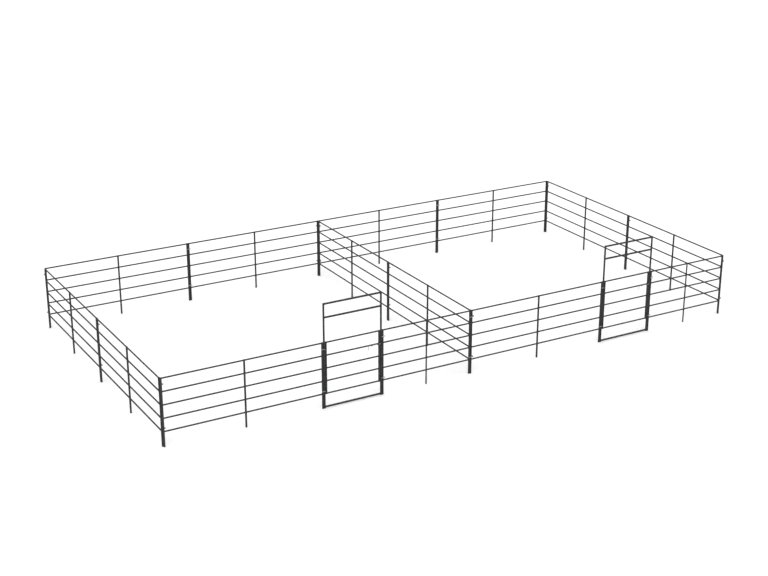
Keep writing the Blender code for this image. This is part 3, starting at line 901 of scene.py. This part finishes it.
class CORRAL_OT_couplings(bpy.types.Operator):
    """Eyes, hooks and links that tie the units post to post"""

    bl_idname = "corral.couplings"
    bl_label = "Dress Couplings"

    def execute(self, context):
        tools = context.scene.corral_hardware
        ends = []
        for unit in units_in_order():
            # A bow frame's lugs stand straight out, clear of its gate.
            lean = 0.0 if unit.startswith("bow") else tools.lug_lean
            posts = posts_of(unit)
            ends += [(posts[0], lean), (posts[-1], lean)]
        for node in sorted(name for name in frame["nodes"] if name.startswith("link_")):
            middle = middle_of(node)
            nearest = sorted(ends, key=lambda end: (end[0].foot.xy - middle.xy).length)[:2]
            (eye_post, eye_lean), (hook_post, hook_lean) = sorted(nearest, key=ends.index)
            along = (hook_post.foot - eye_post.foot).normalized()
            out = along.cross(UP)
            if out.dot(middle - eye_post.foot) < 0:
                out = -out
            reach = (middle - eye_post.foot).dot(out)
            eye_lug = out * reach - along * eye_lean
            hook_lug = out * reach + along * hook_lean
            name = node.removeprefix("link_")
            span = (hook_post.foot + hook_lug - eye_post.foot - eye_lug).length
            self.add_link(node, middle, along, out, span, tools)
            self.add_eye(name, eye_post, eye_lug, middle.z, tools)
            self.add_hook(name, hook_post, hook_lug, middle.z, tools)
            beads = bmesh.new()
            self.add_eye_welds(beads, eye_post, eye_lug, middle.z, tools)
            self.add_hook_weld(beads, hook_post, hook_lug, middle.z, tools)
            add_piece("coupling_welds_" + name, beads, WELD, ROOT_BODY)
        return {"FINISHED"}

    def add_link(self, node, middle, along, out, span, tools):
        """Oval link of round wire, closed by a small butt weld."""
        radius = tools.wire / 2
        bend = tools.link_width / 2 + radius
        finger = math.hypot(tools.hook_thickness, tools.hook_width) / 2
        straight = (span + radius + finger + tools.link_play) / 2 + radius - bend
        ends = (arc(bend, -90, 90, steps=12, middle=(straight, 0))
                + arc(bend, 90, 270, steps=12, middle=(-straight, 0)))
        seam = [(place, -bend) for place, swell in BUTT_WELD]
        path = [middle + along * a + out * b for a, b in ends + seam]
        radii = [radius] * len(ends) + [radius * swell for place, swell in BUTT_WELD]
        link = bmesh.new()
        swept(link, path, radii, WIRE_SIDES, UP, closed=True)
        piece = add_piece(node + "_oval", link, ZINC, ROOT_BODY)
        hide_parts(node)

    def add_eye(self, name, post, lug, z, tools):
        """Rod bent into an upright eye round the link."""
        low = z - tools.wire - tools.seat
        high = z + tools.wire + tools.seat + tools.eye_headroom
        foot = at_height(post.foot, 0)
        root = foot + lug.normalized() * (post.radius - WELDED_DEPTH)
        corners = [root + UP * low, foot + lug + UP * low, foot + lug + UP * high, root + UP * high]
        path = rounded(corners, EYE_BEND, steps=6)
        eye = bmesh.new()
        swept(eye, path, tools.wire / 2, WIRE_SIDES, lug.cross(UP).normalized())
        add_piece("eye_" + name, eye, PAINT, ROOT_BODY)

    def add_hook(self, name, post, lug, z, tools):
        """Flat hook: a foot under the link and a rounded finger up through it."""
        floor = -tools.wire / 2 - tools.seat
        bottom = floor - tools.hook_foot
        half = tools.hook_width / 2
        inner, outer = lug.length - half, lug.length + half
        root = post.radius - WELDED_DEPTH
        heel = [(outer - HEEL, bottom), (outer - HEEL_CUT, bottom + HEEL_CUT), (outer, bottom + HEEL)]
        tip = arc(half, 0, 180, steps=8, middle=(lug.length, tools.hook_rise - half))
        outline = [(root, bottom)] + heel + tip + [(inner, floor), (root, floor)]
        hook = bmesh.new()
        plate(hook, outline, tools.hook_thickness, at_height(post.foot, z), lug.normalized(), UP)
        add_piece("hook_" + name, hook, PAINT, ROOT_BODY, HOOK_EDGE)

    def add_eye_welds(self, beads, post, lug, z, tools):
        """Beads round the two roots of an eye."""
        root = tools.wire + tools.seat
        ring = circle(tools.wire / 2, count=24)
        for height in (-root, root + tools.eye_headroom):
            weld_bead(beads, post, z + height, lug.normalized(), ring, tools.seam)

    def add_hook_weld(self, beads, post, lug, z, tools):
        """Bead down one side of a hook's root and up the other."""
        half = tools.hook_thickness / 2
        top = -tools.wire / 2 - tools.seat
        rises = [tools.hook_foot * k / SEAM_STEPS for k in range(SEAM_STEPS + 1)]
        seam = [(-half, top - tools.hook_foot + rise) for rise in rises]
        seam += [(half, top - rise) for rise in rises]
        weld_bead(beads, post, z, lug.normalized(), seam, tools.seam)


class CORRAL_OT_studio(bpy.types.Operator):
    """White floor, soft light and the camera"""

    bl_idname = "corral.studio"
    bl_label = "Set Up Studio"

    def execute(self, context):
        scene = context.scene
        self.add_floor(scene)
        self.add_light(scene, scene.corral_studio)
        self.add_camera(scene, scene.corral_studio)
        scene.view_settings.view_transform = "Standard"
        return {"FINISHED"}

    def add_floor(self, scene):
        """Large pale floor that the camera sees as white, apart from the object's shadow."""
        grid = bmesh.new()
        bmesh.ops.create_grid(grid, x_segments=1, y_segments=1, size=FLOOR_REACH)
        mesh = bpy.data.meshes.new("studio_floor")
        grid.to_mesh(mesh)
        grid.free()
        floor = bpy.data.objects.new("studio_floor", mesh)
        floor.location.z = -FLOOR_SINK
        scene.collection.objects.link(floor)
        material, tree, shader = shader_nodes("studio floor")
        shader.inputs["Base Color"].default_value = (*scene.corral_finish.floor, 1.0)
        shader.inputs["Roughness"].default_value = 1.0
        shader.inputs["Specular IOR Level"].default_value = 0.0
        shader.inputs["Emission Color"].default_value = (1, 1, 1, 1)
        glow = add_range(tree, seen_by_camera(tree), (0.0, 1.0), (0.0, FLOOR_GLOW))
        tree.links.new(glow, shader.inputs["Emission Strength"])
        mesh.materials.append(material)

    def add_light(self, scene, studio):
        """Even white surroundings and one very soft sun from the camera's left."""
        world = bpy.data.worlds.new("studio")
        world.use_nodes = True
        tree = world.node_tree
        background = tree.nodes["Background"]
        background.inputs["Color"].default_value = (1, 1, 1, 1)
        strength = add_range(tree, seen_by_camera(tree), (0.0, 1.0), (studio.sky_strength, 1.0))
        tree.links.new(strength, background.inputs["Strength"])
        scene.world = world
        lamp = bpy.data.lights.new("soft_sun", "SUN")
        lamp.energy = studio.key_strength
        lamp.angle = SUN_SPREAD
        sun = bpy.data.objects.new("soft_sun", lamp)
        sun.rotation_euler = SUN_TILT
        scene.collection.objects.link(sun)

    def add_camera(self, scene, studio):
        """Camera at the photograph's place and angle."""
        lens = bpy.data.cameras.new("camera")
        lens.lens = studio.lens
        lens.sensor_width = SENSOR_WIDTH
        lens.clip_end = SIGHT
        camera = bpy.data.objects.new("camera", lens)
        camera.location = studio.camera_place
        azimuth, elevation = studio.azimuth, studio.elevation
        back = Vector((math.sin(azimuth) * math.cos(elevation),
                       -math.cos(azimuth) * math.cos(elevation), math.sin(elevation)))
        camera.rotation_mode = "QUATERNION"
        camera.rotation_quaternion = (-back).to_track_quat("-Z", "Y")
        scene.collection.objects.link(camera)
        scene.camera = camera


class CORRAL_PT_sidebar(bpy.types.Panel):
    """Corral's sizes, colours and builders"""

    bl_label = "Corral Stalls"
    bl_space_type = "VIEW_3D"
    bl_region_type = "UI"
    bl_category = "Corral"

    def draw(self, context):
        for title, group in PROPERTY_SETS.items():
            box = self.layout.box()
            box.label(text=group.__doc__)
            settings = getattr(context.scene, title)
            for key in group.__annotations__:
                box.prop(settings, key)
        for operator in OPERATORS:
            self.layout.operator(operator.bl_idname)


PROPERTY_SETS = {
    "corral_tubes": TubeSizes,
    "corral_hardware": HardwareSizes,
    "corral_finish": FinishColours,
    "corral_studio": StudioSettings,
}
OPERATORS = (CORRAL_OT_panels, CORRAL_OT_bows, CORRAL_OT_gates, CORRAL_OT_hinges,
             CORRAL_OT_bolts, CORRAL_OT_couplings, CORRAL_OT_studio)


def register():
    for group in (*PROPERTY_SETS.values(), *OPERATORS, CORRAL_PT_sidebar):
        bpy.utils.register_class(group)
    for title, group in PROPERTY_SETS.items():
        setattr(bpy.types.Scene, title, PointerProperty(type=group))


def unregister():
    for title in PROPERTY_SETS:
        delattr(bpy.types.Scene, title)
    for group in (CORRAL_PT_sidebar, *OPERATORS, *PROPERTY_SETS.values()):
        bpy.utils.unregister_class(group)


def main():
    register()
    bpy.ops.corral.panels()
    bpy.ops.corral.bows()
    bpy.ops.corral.gates()
    bpy.ops.corral.hinges()
    bpy.ops.corral.bolts()
    bpy.ops.corral.couplings()
    bpy.ops.corral.studio()


if __name__ == "__main__":
    main()
